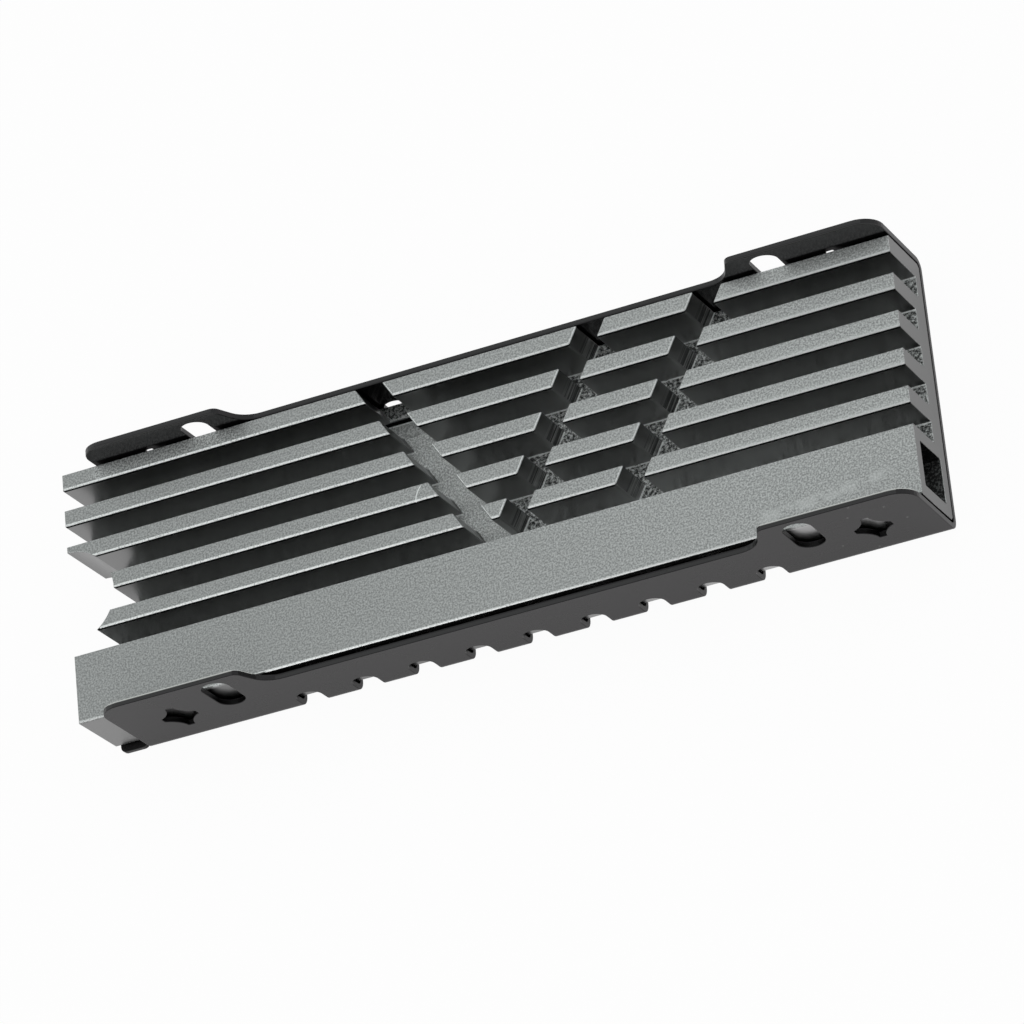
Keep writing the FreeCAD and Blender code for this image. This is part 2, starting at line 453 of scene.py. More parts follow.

# %% [markdown]
# ## Blasted aluminium: wear
#
# Edges get rubbed bright in handling, first on the grains that stand up, and the near top
# edges also carry a painted highlight that fades towards the right end. Painted shade dims
# the rail's near edge where the tray's lugs cover both its ends, so that its middle is
# brightest. Beside the far lugs the grain of the last fin is coarse, and painted light makes
# it pale. Two marks are there by accident: a curved scratch on a fin, which is a thin ring
# cut short, and a dry smear on the rail.

# %% Aluminium: rubbed and highlighted edges, painted shade and light
left_lug_foot, right_lug_foot = 16.8 * mm, 62.7 * mm
between_lugs = product(
    tree, ramp(tree, along, left_lug_foot - 0.6 * mm, left_lug_foot + 0.6 * mm),
    ramp(tree, along, right_lug_foot + 0.7 * mm, right_lug_foot - 0.7 * mm))
# Painted shade: behind the lugs the rail's near edge is dimmed, where it faces the dark lugs.
lug_shade = product(
    tree, ramp(tree, across, -11.0 * mm, -11.1 * mm), inverse(tree, between_lugs))
rubbed_and_highlight = product(tree, wear_and_highlight, between(tree, lug_shade, 1.0, 0.6))
off_wear_and_highlight = inverse(tree, rubbed_and_highlight)
# Rubbed metal and painted highlight: bright on the near edges, dimmer towards the right.
bright = mix_colour(tree, towards_end, grey(0.84), grey(0.56))
bright = mix_colour(tree, ramp(tree, grain, 0.34, 0.5), grey(0.48), bright)
# Painted shade: a dark line on the lower half of each rounded near edge.
foot_shows = maths(
    tree, "MAXIMUM", between_lugs, ramp(tree, across, rail_far_face, first_fin_side))
# Painted light: beside the far lugs the last fin's coarse grain is made paler, against the
# lugs' shade.
painted_light_by_far_lugs = product(
    tree, ramp(tree, across, 10.1 * mm, 10.3 * mm), ramp(tree, along, 2.2 * mm, 3.4 * mm),
    inverse(tree, between_lugs), blasted, off_wear_and_highlight, 0.3)
low_grain = mix_colour(tree, towards_end, grey(0.25), grey(0.6))
painted_light_grain = mix_colour(tree, ramp(tree, grain, 0.4, 0.6), low_grain, grey(1.0))
layers += [
    (rubbed_and_highlight, bright),
    (product(tree, attribute(tree, "edge_foot"), foot_shows), grey(0.02)),
    (painted_light_by_far_lugs, painted_light_grain),
]
print("with the rubbed edges:", len(layers), "layers")

# %% Aluminium: scratch and smear
scratch_centre = Vector((34.54 * mm, -0.2 * mm, body_top))
scratch_radius = 2.03 * mm
scratch_end = 33.1 * mm
off_scratch = maths(
    tree, "ABSOLUTE",
    maths(tree, "SUBTRACT", distance(tree, place, scratch_centre), scratch_radius))
scratch = product(
    tree, ramp(tree, off_scratch, 0.08 * mm, 0.02 * mm),
    ramp(tree, along, scratch_end + 0.1 * mm, scratch_end - 0.1 * mm), blasted, 0.75)

smear_x, smear_y, smear_slope = 65.0 * mm, -9.65 * mm, 0.09
smear_line = maths(
    tree, "MULTIPLY_ADD", along, smear_slope, smear_y - smear_slope * smear_x)
smear_start, smear_end, smear_fade = 61.5 * mm, 74.5 * mm, 1.5 * mm
off_smear = maths(tree, "ABSOLUTE", maths(tree, "SUBTRACT", across, smear_line))
smear = product(
    tree, ramp(tree, off_smear, 0.75 * mm, 0.2 * mm), blasted,
    ramp(tree, along, smear_start, smear_start + smear_fade),
    ramp(tree, along, smear_end, smear_end - smear_fade),
    ramp(tree, noise(tree, place, 900.0), 0.4, 0.6), 0.45)
layers += [(scratch, grey(0.9)), (smear, grey(0.62))]
print("with scratch and smear:", len(layers), "layers")

# %% [markdown]
# ## Blasted aluminium: the layers together
#
# Each layer is mixed over the ones before it. The same masks steer the roughness and the
# bump, because a dimpled top scatters light and a drawn side mirrors it. Torn metal and the
# painted highlight at the feet of walls aren't metallic here: torn metal's many tiny faces
# look white from every side.

# %% Aluminium: colour, roughness and bump
skin = sides
for mask, colour in layers:
    skin = mix_colour(tree, mask, skin, colour)
dimpled = product(tree, blasted, off_wear_and_highlight)
roughness = maths(tree, "MAXIMUM", between(tree, dimpled, 0.28, 0.59), painted_shade_step)
dimple_height = product(tree, grain, between(tree, dimpled, 0.05, 1.6))
line_height = product(tree, lines, wall_lines, 2.0)
pit_height = product(tree, crumb_noise, in_others, 3.5)
height = maths(tree, "ADD", maths(tree, "ADD", line_height, pit_height), dimple_height)
finish_principled(tree, {
    "Base Color": skin, "Metallic": inverse(tree, crumbs_and_foot_highlight), "Roughness": roughness,
    "Normal": bump(tree, height, 0.8, 0.02 * mm),
})
print("blasted aluminium:", len(tree.nodes), "nodes")

# %% [markdown]
# ## Black steel and film
#
# The tray is pressed from half a millimetre of steel and coated black. The coating is
# satin: it is nearly black face on and mirrors the white table at a low angle. A real
# coating has a very fine ripple, which a weak bump gives. It is a little greyer on the
# rims, the near lugs' inner edges are rubbed through to the steel and carry a painted
# highlight, and six grains of dust lie on the near wall. The film is soft grey silicone,
# and no light reaches it.

# %% Steel material
black_steel, tree = new_material("black_steel")
place = node(tree, "ShaderNodeTexCoord").outputs["Object"]
across, up = node(tree, "ShaderNodeSeparateXYZ", {0: place}).outputs[1:]
ripple = noise(tree, place, 5200.0)
cloud = noise(tree, place, 260.0, 3.0)
rim = attribute(tree, "rim")
coat = mix_colour(tree, cloud, (0.0022, 0.002, 0.0021, 1.0), (0.0045, 0.004, 0.0042, 1.0))

off_middle = maths(tree, "ABSOLUTE", across)
grey_rim = product(tree, rim, ramp(tree, off_middle, 11.7 * mm, 11.8 * mm))
coat = mix_colour(tree, grey_rim, coat, (0.021, 0.0205, 0.0205, 1.0))
# Rubbed steel and painted highlight on the inner top edges of the near lugs.
near_lug_rim = product(
    tree, rim, ramp(tree, up, 9.6 * mm, 9.7 * mm), ramp(tree, across, 0.0, -1.0 * mm))
rubbed_rim_highlight = product(tree, near_lug_rim, ramp(tree, off_middle, 11.76 * mm, 11.72 * mm), 0.5)
rubbed_and_highlight = maths(tree, "MAXIMUM", attribute(tree, "edge"), rubbed_rim_highlight)
coat = mix_colour(tree, rubbed_and_highlight, coat, (0.7, 0.69, 0.67, 1.0))

dust_size = 0.13 * mm
near_wall_y = -12.1 * mm
for dust_x, dust_z in (
    (73.0, 8.3), (70.6, 9.9), (69.8, 8.1), (67.4, 3.2), (73.8, 5.3), (69.8, 1.3),
):
    gap = distance(tree, place, (dust_x * mm, near_wall_y, dust_z * mm))
    dust = product(tree, ramp(tree, gap, dust_size, dust_size * 0.4), 0.3)
    coat = mix_colour(tree, dust, coat, (0.4, 0.39, 0.38, 1.0))

smoother_inside = between(tree, attribute(tree, "inner"), 0.24, 0.12)
roughness = maths(tree, "MULTIPLY_ADD", cloud, 0.06, smoother_inside)
finish_principled(tree, {
    "Base Color": coat, "Roughness": roughness, "Specular IOR Level": 0.36,
    "Specular Tint": (1.0, 0.955, 1.0, 1.0), "Normal": bump(tree, ripple, 0.25, 0.004 * mm),
})
print("black steel:", len(tree.nodes), "nodes")

# %% Film material
film_material, tree = new_material("thermal_film")
place = node(tree, "ShaderNodeTexCoord").outputs["Object"]
weave = noise(tree, place, 2600.0)
film_colour = mix_colour(tree, weave, (0.16, 0.2, 0.24, 1.0), (0.2, 0.245, 0.29, 1.0))
film_bump = bump(tree, weave, 0.3, 0.01 * mm)
finish_principled(tree, {"Base Color": film_colour, "Roughness": 0.62, "Normal": film_bump})
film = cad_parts["thermal_film"]
film.data.materials.clear()
film.data.materials.append(film_material)
print("film:", len(film.data.polygons), "faces from the packed model")

# %% [markdown]
# ## Outlines and prisms
#
# Sheet metal and cutters are flat outlines with some thickness. One helper rounds the
# corners of an outline by arcs, and another makes a closed prism of it along X, Y or Z.

# %% Rounded outlines
def along_arc(centre, start, turn, steps):
    """Points on a circle, from a start point, seen from the centre, through a turn."""
    points = []
    for step in range(steps + 1):
        angle = turn * step / steps
        points.append(centre + Vector((
            start.x * math.cos(angle) - start.y * math.sin(angle),
            start.x * math.sin(angle) + start.y * math.cos(angle),
        )))
    return points


def rounded(corners, steps=8):
    """An outline of (u, v, radius) corners, each rounded by an arc of so many steps."""
    outline = []
    for index, (u, v, radius) in enumerate(corners):
        corner = Vector((u, v))
        before = (Vector(corners[index - 1][:2]) - corner).normalized()
        after = (Vector(corners[(index + 1) % len(corners)][:2]) - corner).normalized()
        if radius == 0:
            outline.append(corner)
            continue
        half = before.angle(after) / 2
        centre = corner + (before + after).normalized() * (radius / math.sin(half))
        start = corner + before * (radius / math.tan(half)) - centre
        end = corner + after * (radius / math.tan(half)) - centre
        turn = math.copysign(math.pi - 2 * half, start.x * end.y - start.y * end.x)
        outline += along_arc(centre, start, turn, steps)
    return outline


square = rounded([(0, 0, 1), (9, 0, 1), (9, 9, 1), (0, 9, 1)])
print("a rounded square has", len(square), "points")

# %% Closed prisms
def placed(u, v, w, axis):
    return {"X": (w, u, v), "Y": (u, w, v), "Z": (u, v, w)}[axis]


def prisms(name, axis, *parts):
    """An object of closed prisms. A part is an outline with its start and end on the axis."""
    builder = bmesh.new()
    for outline, start, end in parts:
        low = [builder.verts.new(placed(u, v, start, axis)) for u, v in outline]
        high = [builder.verts.new(placed(u, v, end, axis)) for u, v in outline]
        builder.faces.new(low)
        builder.faces.new(high)
        for index in range(len(low)):
            builder.faces.new((low[index - 1], low[index], high[index], high[index - 1]))
    bmesh.ops.recalc_face_normals(builder, faces=builder.faces)
    mesh = bpy.data.meshes.new(name)
    builder.to_mesh(mesh)
    builder.free()
    made = bpy.data.objects.new(name, mesh)
    scene.collection.objects.link(made)
    print(name, "has", len(mesh.polygons), "faces")
    return made


# %% [markdown]
# ## Tools for Geometry Nodes
#
# A tree gets named inputs, so that its sizes can be changed in the modifier. Its result
# is read as a plain mesh, and the modifier goes again.

# %% Trees and their meshes
def new_tree(name, inputs):
    tree = bpy.data.node_groups.new(name, "GeometryNodeTree")
    for label, kind in inputs.items():
        tree.interface.new_socket(label, in_out="INPUT", socket_type="NodeSocket" + kind)
    tree.interface.new_socket("Geometry", in_out="OUTPUT", socket_type="NodeSocketGeometry")
    return tree, node(tree, "NodeGroupInput").outputs


def finish_tree(tree, geometry, material):
    whole = node(tree, "GeometryNodeRealizeInstances", {0: geometry}).outputs[0]
    finished = node(
        tree, "GeometryNodeSetMaterial", {"Geometry": whole, "Material": material},
    ).outputs[0]
    node(tree, "NodeGroupOutput", {"Geometry": finished})
    print(tree.name, "has", len(tree.nodes), "nodes")


def mesh_from_tree(name, start, tree, values):
    """The mesh that the tree makes of a start object with these values."""
    modifier = start.modifiers.new("build", "NODES")
    modifier.node_group = tree
    for socket in tree.interface.items_tree:
        if socket.in_out == "INPUT" and socket.name in values:
            modifier[socket.identifier] = values[socket.name]
    start.update_tag()
    graph = bpy.context.evaluated_depsgraph_get()
    mesh = bpy.data.meshes.new_from_object(start.evaluated_get(graph))
    mesh.name = name
    start.modifiers.remove(modifier)
    print(name, "from nodes:", len(mesh.vertices), "points,", len(mesh.polygons), "faces")
    return mesh


def boolean(tree, operation, **meshes):
    inputs = {name.replace("_", " "): value for name, value in meshes.items()}
    return node(
        tree, "GeometryNodeMeshBoolean", inputs, operation=operation, solver="EXACT",
    ).outputs["Mesh"]


def instances(tree, points, shape):
    """One copy of a shape on each point."""
    return node(
        tree, "GeometryNodeInstanceOnPoints", {"Points": points, "Instance": shape},
    ).outputs[0]


def row_of_points(tree, count, start, step):
    return node(
        tree, "GeometryNodeMeshLine",
        {"Count": count, "Start Location": start, "Offset": step},
    ).outputs[0]


def notch_cylinder(tree, radius, depth):
    return node(
        tree, "GeometryNodeMeshCylinder",
        {"Vertices": 72, "Radius": radius, "Depth": depth},
    ).outputs[0]


# %% [markdown]
# ## Soft edges
#
# A perfectly sharp edge catches no light, so every sharp edge gets a small round. Flat
# neighbours are joined first, so that the bevel runs on without a break. A bevel weight
# on each edge makes some rounds wider than others. The rounded faces get the attribute
# edge, which says how worn they are and how much painted highlight they carry, and other
# attributes mark faces for the materials.

# %% Soft edges and marks
merge_distance = 0.0005 * mm
flat_angle = math.radians(0.5)
sharp_angle = math.radians(28.0)


def soften(name, mesh, widest, edge_round, segments, edge_wear_and_highlight):
    """Joins flat faces, rounds sharp edges, and marks wear and painted highlight on the
    rounds.
    """
    finish = [one for one in mesh.materials if one][0]
    builder = bmesh.new()
    builder.from_mesh(mesh)
    for face in builder.faces:
        face.material_index = 0
    bmesh.ops.remove_doubles(builder, verts=builder.verts, dist=merge_distance)
    bmesh.ops.dissolve_limit(
        builder, angle_limit=flat_angle, verts=builder.verts, edges=builder.edges)
    weight = builder.edges.layers.float.new("bevel_weight_edge")
    for one in builder.edges:
        if len(one.link_faces) == 2 and one.calc_face_angle(0.0) > sharp_angle:
            one[weight] = edge_round(one) / widest
    builder.to_mesh(mesh)
    builder.free()
    rough = bpy.data.objects.new(name, mesh)
    scene.collection.objects.link(rough)
    bevel = rough.modifiers.new("soft_edges", "BEVEL")
    bevel.limit_method = "WEIGHT"
    bevel.width = widest
    bevel.segments = segments
    bevel.use_clamp_overlap = False
    bevel.miter_outer = "MITER_ARC"
    bevel.material = 1
    mesh.materials.clear()
    mesh.materials.append(finish)
    mesh.materials.append(finish)
    graph = bpy.context.evaluated_depsgraph_get()
    finished = bpy.data.meshes.new_from_object(rough.evaluated_get(graph))
    bpy.data.objects.remove(rough)
    marks = finished.attributes.new("edge", "FLOAT", "FACE")
    for face in finished.polygons:
        marks.data[face.index].value = edge_wear_and_highlight(face) if face.material_index == 1 else 0.0
        face.material_index = 0
    finished.materials.pop(index=1)
    piece = bpy.data.objects.new(name, finished)
    scene.collection.objects.link(piece)
    print(name, "with soft edges:", len(finished.polygons), "faces")
    return piece


def mark_faces(piece, name, test):
    """A face attribute that is 1 where the test holds."""
    values = [float(test(face)) for face in piece.data.polygons]
    marks = piece.data.attributes.new(name, "FLOAT", "FACE")
    marks.data.foreach_set("value", values)
    print(name, "marks", int(sum(values)), "faces")


# %% [markdown]
# ## The finned body
#
# The real body starts as an extrusion: a block with long gaps between its fins and a
# hollow rail on one side. A mill then cuts three slanted slots across all fins, and a
# round notch clears the drive's screw. Geometry Nodes follow the same steps. A row of
# points carries one cutter for each gap, three transforms place the slanted cutters, and
# a Mesh Boolean takes all of them from the block. So the count, pitch and angle are
# inputs of the tree, as they are for a toolmaker.

# %% Tree of the body: block, gaps and channel
tree, given = new_tree("milled_extrusion", {
    "Block Size": "Vector", "Block Centre": "Vector",
    "Fin Count": "Int", "First Gap": "Vector", "Gap Step": "Vector", "Gap Size": "Vector",
    "Extra Depth": "Float",
    "Channel Size": "Vector", "Channel Centre": "Vector",
    "Cut Size": "Vector", "Cut Angle": "Float",
    "Cut 1": "Vector", "Cut 2": "Vector", "Cut 3": "Vector",
    "Notch Radius": "Float", "Chamfer": "Float",
})


def moved(tree, geometry, offset, turn=(0.0, 0.0, 0.0)):
    return node(
        tree, "GeometryNodeTransform",
        {"Geometry": geometry, "Translation": offset, "Rotation": turn},
    ).outputs[0]


def cube(tree, size):
    return node(tree, "GeometryNodeMeshCube", {"Size": size}).outputs["Mesh"]


block = moved(tree, cube(tree, given["Block Size"]), given["Block Centre"])
gap_points = row_of_points(tree, given["Fin Count"], given["First Gap"], given["Gap Step"])

# The last gap is deeper than the others.
index = node(tree, "GeometryNodeInputIndex").outputs[0]
last_index = maths(tree, "SUBTRACT", given["Fin Count"], 1)
is_last = node(
    tree, "FunctionNodeCompare", {2: index, 3: last_index},
    data_type="INT", operation="EQUAL",
).outputs[0]
extra_drop = maths(tree, "MULTIPLY", given["Extra Depth"], -1)
drop = node(tree, "ShaderNodeCombineXYZ", {"Z": extra_drop}).outputs[0]
gap_points = node(
    tree, "GeometryNodeSetPosition",
    {"Geometry": gap_points, "Selection": is_last, "Offset": drop},
).outputs[0]
gaps = instances(tree, gap_points, cube(tree, given["Gap Size"]))
channel = moved(tree, cube(tree, given["Channel Size"]), given["Channel Centre"])
print("inputs of the tree:", len(given) - 1)

# %% Tree of the body: slots, notch and chamfers
cutter = cube(tree, given["Cut Size"])
slots = []
for number, (_, lean) in enumerate(cut_starts, 1):
    angle = maths(tree, "MULTIPLY", given["Cut Angle"], -lean)
    turn = node(tree, "ShaderNodeCombineXYZ", {"Z": angle}).outputs[0]
    slots.append(moved(tree, cutter, given[f"Cut {number}"], turn))
notch = notch_cylinder(tree, given["Notch Radius"], 2 * (body_top + over))

# A chamfer is the edge of a bar that is turned by an eighth of a turn.
chamfer_side = maths(tree, "MULTIPLY", given["Chamfer"], math.sqrt(2))
chamfer_size = node(
    tree, "ShaderNodeCombineXYZ",
    {"X": body_length + over, "Y": chamfer_side, "Z": chamfer_side},
).outputs[0]
chamfers = []
for side in (-1, 1):
    bottom_edge = (body_length / 2, side * body_width / 2, body_bottom)
    chamfers.append(moved(tree, cube(tree, chamfer_size), bottom_edge, (math.pi / 4, 0, 0)))
cutters = [gaps, channel, notch, *slots, *chamfers]
milled_body = boolean(tree, "DIFFERENCE", Mesh_1=block, Mesh_2=cutters)
finish_tree(tree, milled_body, aluminium)

# %% Build the body
cut_reach = body_width / math.cos(cut_angle)
first_gap_y = rail_far_face + gap_width / 2
middle_z = body_bottom + body_height / 2


def cut_centre(start_x, lean):
    """The middle of a slanted cutter that starts inside the first gap."""
    y = first_gap_y + cut_reach / 2 * math.cos(cut_angle)
    return (start_x + lean * math.tan(cut_angle) * y, y, wall_foot + over)


seed = bpy.data.objects.new("body_seed", bpy.data.meshes.new("body_seed"))
scene.collection.objects.link(seed)
body_mesh = mesh_from_tree("heat_sink", seed, tree, {
    "Block Size": (body_length, body_width, body_height),
    "Block Centre": (body_length / 2, 0.0, middle_z),
    "Fin Count": fin_count,
    "First Gap": (body_length / 2, first_gap_y, wall_foot + over),
    "Gap Step": (0.0, fin_pitch, 0.0),
    "Gap Size": (body_length + over, gap_width, 2 * over),
    "Extra Depth": floor_height - deep_floor_height,
    "Channel Size": (
        body_length + over, rail_width - 2 * rail_wall, body_height - 2 * rail_wall),
    "Channel Centre": (body_length / 2, -body_width / 2 + rail_width / 2, middle_z),
    "Cut Size": (cut_width, cut_reach, 2 * over),
    "Cut Angle": cut_angle,
    **{f"Cut {number}": cut_centre(*cut) for number, cut in enumerate(cut_starts, 1)},
    "Notch Radius": notch_radius,
    "Chamfer": underside_chamfer,
})
bpy.data.objects.remove(seed)

# %% [markdown]
# ## Edges of the body
#
# The die leaves wide rounds on the near top edges and tight ones on the far edges, and a
# saw leaves the ends sharp. The top edges that face the near side are rubbed brightest and
# carry a painted highlight. A face that points almost straight along an axis tells which
# kind of edge it meets.

# %% Round the edges
widest_round = 0.24 * mm
far_round = 0.07 * mm
other_round = 0.13 * mm
sawn_round = 0.05 * mm
notch_round = 0.03 * mm
edge_zone = 0.3 * mm
straight = 0.95


def body_round(edge):
    """How wide an edge is rounded."""
    normals = [face.normal for face in edge.link_faces]
    if any(abs(normal.x) > straight for normal in normals):
        return sawn_round
    if max(vert.co.z for vert in edge.verts) < body_bottom + 2 * underside_chamfer:
        return sawn_round
    if all(abs(vert.co.xy.length - notch_radius) < 0.05 * mm for vert in edge.verts):
        return notch_round
    if edge.is_convex and any(normal.z > straight for normal in normals):
        if any(normal.y < -straight for normal in normals):
            return widest_round
        if any(normal.y > straight for normal in normals):
            return far_round
    return other_round


def is_step_edge(face):
    """The rounded edges where a slot's floor drops into the deeper last gap."""
    below_floor = wall_foot - face.center.z
    leans = abs(face.normal.y) > 0.2 and 0.2 < face.normal.z < 0.95
    return 0 < below_floor < 0.14 * mm and leans


def body_wear_and_highlight(face):
    """Wear and painted highlight of a round. The ends were sawn later and aren't worn."""
    if min(face.center.x, body_length - face.center.x) < 0.1 * mm:
        return 0.0
    if face.center.z < body_top - edge_zone:
        return 0.8 if is_step_edge(face) else 0.0
    if face.normal.x < -0.2:
        in_first_slot = face.normal.y < 0 and face.center.y < 8.0 * mm
        return 0.1 if in_first_slot else 0.3
    return 1.0 if -0.7 < face.normal.y < -0.08 else 0.0


body = soften("heat_sink", body_mesh, widest_round, body_round, 4, body_wear_and_highlight)

# %% [markdown]
# ## Marks on the body's faces
#
# A material can't know which face is a floor and which is a wall of a slot. A test on
# each face's place and direction can, and it writes its answer as an attribute.

# %% Mark the faces of the body
slack = 0.02 * mm


def is_bore(face):
    off_y = abs(face.center.y - (rail_far_face - rail_width / 2))
    off_z = abs(face.center.z - body_bottom - body_height / 2)
    return (
        off_y < rail_width / 2 - rail_wall + slack
        and off_z < body_height / 2 - rail_wall + slack
        and abs(face.normal.x) < 0.1
    )


def is_rough_floor(face):
    low = face.center.z < wall_foot + 0.05 * mm
    return face.normal.z > straight and low and not is_bore(face)


def is_cut_wall(face):
    """The walls of the slanted slots, and not the round wall of the notch."""
    slanted = abs(face.normal.z) < 0.05 and 0.8 < abs(face.normal.x) < 0.92
    return slanted and face.center.xy.length > notch_radius + 0.1 * mm


def is_shaded_edge_foot(face):
    """The lower half of a rounded near edge, painted dark as a reflection of the dark gap."""
    turned_down = face.normal.y < -0.7 and 0.1 < face.normal.z < 0.75
    return turned_down and face.center.z > body_top - edge_zone


def is_foot_highlight(face):
    """The feet of the walls that face the near side, beside the rough floors, for a painted
    highlight.
    """
    off_foot = min(
        abs(face.center.z - foot - 0.07 * mm) for foot in (wall_foot, deep_wall_foot))
    faces_near = face.normal.y < -0.25 and face.normal.x > -0.2
    leans = 0.1 < face.normal.z < 0.97
    return off_foot < 0.065 * mm and faces_near and leans and not is_bore(face)


mark_faces(body, "blasted", lambda face: face.normal.z > 0.5)
mark_faces(body, "sawn", lambda face: face.normal.x > 0.9)
mark_faces(body, "rough_floor", is_rough_floor)
mark_faces(body, "cut_wall", is_cut_wall)
mark_faces(body, "edge_foot", is_shaded_edge_foot)
mark_faces(body, "burr", is_foot_highlight)
mark_faces(body, "bore", is_bore)
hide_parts("heat_sink_body")
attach(body, "root")

# %% [markdown]
# ## The folded tray
#
# A press makes the tray from one flat sheet: it trims the outline, punches windows,
# stars and vents, and folds both walls up. Here the folded sheet comes first, as a plain
# U, and Geometry Nodes then trim and punch it. The vents stand on a row of points whose
# count and pitch are inputs of the tree.

# %% Sizes of the tray
sheet = 0.5 * mm
tray_inside = body_width / 2 + 0.2 * mm
tray_outside = tray_inside + sheet
bend_inside_radius = 0.5 * mm
bend_outside_radius = bend_inside_radius + sheet
fold_line = tray_inside - bend_inside_radius
wall_start = 3.08 * mm
tray_end = body_length
low_wall_height = 7.0 * mm
lug_height = 10.2 * mm
lug_top_length = 13.1 * mm
lug_run = (lug_height - low_wall_height) * math.tan(math.radians(22.0))
left_top = wall_start + lug_top_length
right_top = tray_end - lug_top_length
full_round = 0.999  # of half a width: a round end whose two arcs don't quite meet
print("tray of", round(2 * tray_outside / mm, 2), "mm over both walls")

# %% The folded sheet and its tongue
wall_ends = lug_height + over
folded_outline = rounded([
    (-tray_outside, 0, bend_outside_radius),
    (tray_outside, 0, bend_outside_radius),
    (tray_outside, wall_ends, 0),
    (tray_inside, wall_ends, 0),
    (tray_inside, sheet, bend_inside_radius),
    (-tray_inside, sheet, bend_inside_radius),
    (-tray_inside, wall_ends, 0),
    (-tray_outside, wall_ends, 0),
])
folded = prisms("folded_sheet", "X", (folded_outline, wall_start, tray_end))

# The tongue at the notch end has a rounded ear on each side.
ear_start = 0.2 * mm
ear_end = wall_start - 0.23 * mm
ear_side = tray_outside - 0.22 * mm
tongue_outline = rounded([
    (ear_start, -ear_side, 0.5 * mm),
    (ear_end, -ear_side, 0.6 * mm),
    (ear_end, -fold_line, 0),
    (wall_start + sheet, -fold_line, 0),
    (wall_start + sheet, fold_line, 0),
    (ear_end, fold_line, 0),
    (ear_end, ear_side, 0.6 * mm),
    (ear_start, ear_side, 0.5 * mm),
])
tongue = prisms("tongue", "Z", (tongue_outline, 0.0, sheet))

# %% [markdown]
# ## Trim tool and punches
#
# What lies inside the trim tool stays, and what lies inside a punch goes. Both are prisms
# that are longer than the sheet is thick, so that no skin is left. Windows and stars go
# through both walls at once. A vent wraps round the fold, so it needs two punches that
# meet there.

# %% The trim tool, which leaves a tall lug at each end
lug_round = 2.0 * mm
lug_shoulder = 0.75 * mm
lug_foot_round = 2.2 * mm
corner_z = lug_height - lug_round
both_walls = (-tray_outside - over, tray_outside + over)
trim_outline = rounded([
    (wall_start - over, -over, 0),
    (tray_end + over, -over, 0),
    (tray_end + over, corner_z, 0),
    (tray_end, corner_z, 0),
    (tray_end, lug_height, lug_round * full_round),
    (right_top, lug_height, lug_shoulder),
    (right_top - lug_run, low_wall_height, lug_foot_round),
    (left_top + lug_run, low_wall_height, lug_foot_round),
    (left_top, lug_height, lug_shoulder),
    (wall_start, lug_height, lug_round * full_round),
    (wall_start, corner_z, 0),
    (wall_start - over, corner_z, 0),
])
trim = prisms("trim_tool", "Y", (trim_outline, *both_walls))

# %% The window punch, a slot with round ends
window_inset = 2.74 * mm
window_half_width = 1.2 * mm
window_low_end = 4.47 * mm
window_high_end = lug_height - 0.58 * mm
window_round = window_half_width * full_round
window_outline = rounded([
    (-window_half_width, window_low_end, window_round),
    (window_half_width, window_low_end, window_round),
    (window_half_width, window_high_end, window_round),
    (-window_half_width, window_high_end, window_round),
], 10)
window_punch = prisms("window_punch", "Y", (window_outline, *both_walls))

# %% The star punch, with four blunt tips and four hollow sides
star_from_end = 5.2 * mm
star_centre_height = 5.0 * mm
star_half_width = 1.58 * mm
star_half_height = 2.1 * mm
star_tip = 0.3 * mm
star_waist = 0.47


def arc_through(start, middle, end, steps):
    """Points on the circle through three points, from start to just before end."""
    ax, ay = start - middle
    bx, by = end - middle
    scale = 2 * (ax * by - ay * bx)
    centre = middle + Vector((
        (by * (ax * ax + ay * ay) - ay * (bx * bx + by * by)) / scale,
        (ax * (bx * bx + by * by) - bx * (ax * ax + ay * ay)) / scale,
    ))
    turn = (start - centre).angle_signed(end - centre)
    return along_arc(centre, start - centre, -turn, steps)[:-1]


star_outline = []
star_sides = ((1, 1, True), (-1, 1, False), (-1, -1, True), (1, -1, False))
for side_x, side_z, beside_first in star_sides:
    half_width, half_height = side_x * star_half_width, side_z * star_half_height
    beside = Vector((half_width, star_centre_height + side_z * star_tip))
    above = Vector((side_x * star_tip, star_centre_height + half_height))
    waist = Vector((
        half_width * star_waist, star_centre_height + half_height * star_waist))
    start, end = (beside, above) if beside_first else (above, beside)
    star_outline += arc_through(start, waist, end, 8) + [end]
star_punch = prisms("star_punch", "Y", (star_outline, *both_walls))

# %% The vent punches, one for the walls and one for the base
vent_count = 9
vent_pitch = 5.215 * mm
first_vent_x = tray_end - 15.43 * mm - (vent_count - 1) * vent_pitch
vent_half_width = 1.125 * mm
vent_round = vent_half_width * full_round
vent_rise = 3.1 * mm
vent_reach = 2.6 * mm
vent_wall_outline = rounded([
    (-vent_half_width, -over, 0),
    (vent_half_width, -over, 0),
    (vent_half_width, vent_rise, vent_round),
    (-vent_half_width, vent_rise, vent_round),
])
vent_wall_punch = prisms(
    "vent_wall_punch", "Y",
    (vent_wall_outline, fold_line, tray_outside + over),
    (vent_wall_outline, -tray_outside - over, -fold_line),
)
base_parts = []
for side in (-1, 1):
    outside = side * (tray_outside + over)
    reach = side * (tray_outside - vent_reach)
    vent_base_outline = rounded([
        (-vent_half_width, outside, 0),
        (vent_half_width, outside, 0),
        (vent_half_width, reach, vent_round),
        (-vent_half_width, reach, vent_round),
    ])
    base_parts.append((vent_base_outline, -over, bend_outside_radius))
vent_base_punch = prisms("vent_base_punch", "Z", *base_parts)

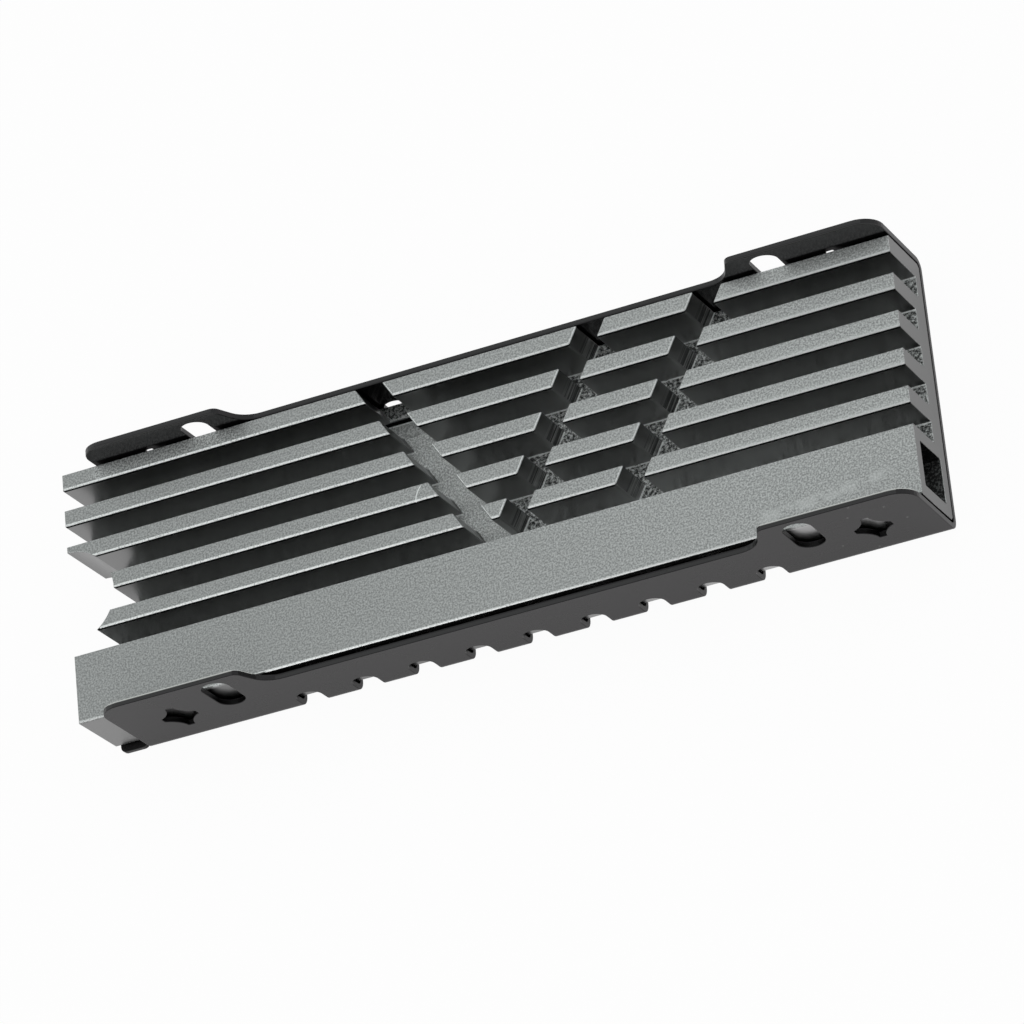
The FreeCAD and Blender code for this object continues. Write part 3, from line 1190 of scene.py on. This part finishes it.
# %% Geometry Nodes for the tray
tree, given = new_tree("punched_tray", {
    "Sheet": "Geometry", "Tongue": "Object", "Trim Tool": "Object",
    "Window Punch": "Object", "Window Start": "Vector", "Window Step": "Vector",
    "Star Punch": "Object", "Star Start": "Vector", "Star Step": "Vector",
    "Vent Wall Punch": "Object", "Vent Base Punch": "Object",
    "Vent Count": "Int", "Vent Start": "Vector", "Vent Pitch": "Vector",
    "Notch Radius": "Float",
})


def tool(name):
    return node(tree, "GeometryNodeObjectInfo", {"Object": given[name]}).outputs["Geometry"]


def punches(name, count, start, step):
    """One copy of a punch on each point of a row."""
    row = row_of_points(tree, count, start, step)
    return instances(tree, row, tool(name))


trimmed = boolean(tree, "INTERSECT", Mesh_2=[given["Sheet"], tool("Trim Tool")])
with_tongue = boolean(tree, "UNION", Mesh_2=[trimmed, tool("Tongue")])
vent_row = (given["Vent Count"], given["Vent Start"], given["Vent Pitch"])
cutters = [
    punches("Window Punch", 2, given["Window Start"], given["Window Step"]),
    punches("Star Punch", 2, given["Star Start"], given["Star Step"]),
    punches("Vent Wall Punch", *vent_row),
    punches("Vent Base Punch", *vent_row),
    notch_cylinder(tree, given["Notch Radius"], 2 * over),
]
punched = boolean(tree, "DIFFERENCE", Mesh_1=with_tongue, Mesh_2=cutters)
finish_tree(tree, punched, black_steel)

# %% Build the tray
notch_gap = 0.35 * mm
first_window_x = left_top - window_inset
tray_mesh = mesh_from_tree("tray_sheet", folded, tree, {
    "Tongue": tongue, "Trim Tool": trim,
    "Window Punch": window_punch,
    "Window Start": (first_window_x, 0.0, 0.0),
    "Window Step": (right_top + window_inset - first_window_x, 0.0, 0.0),
    "Star Punch": star_punch,
    "Star Start": (wall_start + star_from_end, 0.0, 0.0),
    "Star Step": (tray_end - wall_start - 2 * star_from_end, 0.0, 0.0),
    "Vent Wall Punch": vent_wall_punch, "Vent Base Punch": vent_base_punch,
    "Vent Count": vent_count, "Vent Start": (first_vent_x, 0.0, 0.0),
    "Vent Pitch": (vent_pitch, 0.0, 0.0),
    "Notch Radius": notch_radius + notch_gap,
})
for helper in (
    folded, tongue, trim, window_punch, star_punch, vent_wall_punch, vent_base_punch,
):
    bpy.data.objects.remove(helper)

# %% [markdown]
# ## Edges of the tray
#
# The press leaves a small round on every edge. The inner top edge of each lug is broken
# a little wider, and on the near side it is rubbed bright and carries a painted highlight.

# %% Round and mark the edges of the tray
inner_lug_round = 0.09 * mm
press_round = 0.05 * mm
lug_edge_zone = lug_height - 1.5 * mm


def tray_wear_and_highlight(face):
    """How bright a rounded face is, by wear and painted highlight."""
    if face.center.z < lug_edge_zone or face.normal.z < 0.2:
        return 0.0
    if face.center.y < 0 and face.normal.y > 0.2:
        return 1.0
    return 0.05 if face.center.y > 0 and face.normal.y < -0.2 else 0.0


def tray_round(edge):
    """How wide an edge is rounded."""
    normals = [face.normal for face in edge.link_faces]
    middle = (edge.verts[0].co + edge.verts[1].co) / 2
    inner = any(
        normal.y * middle.y < 0 and abs(normal.y) > straight for normal in normals)
    on_top = middle.z > lug_edge_zone and any(normal.z > 0.2 for normal in normals)
    return inner_lug_round if inner and on_top else press_round


def is_rim(face):
    return face.normal.z > straight and face.center.z > low_wall_height - 0.1 * mm


def is_inner(face):
    """The inner face of the far wall."""
    return face.normal.y < -straight and face.center.y > 0


tray = soften("tray_sheet", tray_mesh, inner_lug_round, tray_round, 2, tray_wear_and_highlight)
mark_faces(tray, "rim", is_rim)
mark_faces(tray, "inner", is_inner)
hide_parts("tray")
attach(tray, "root")
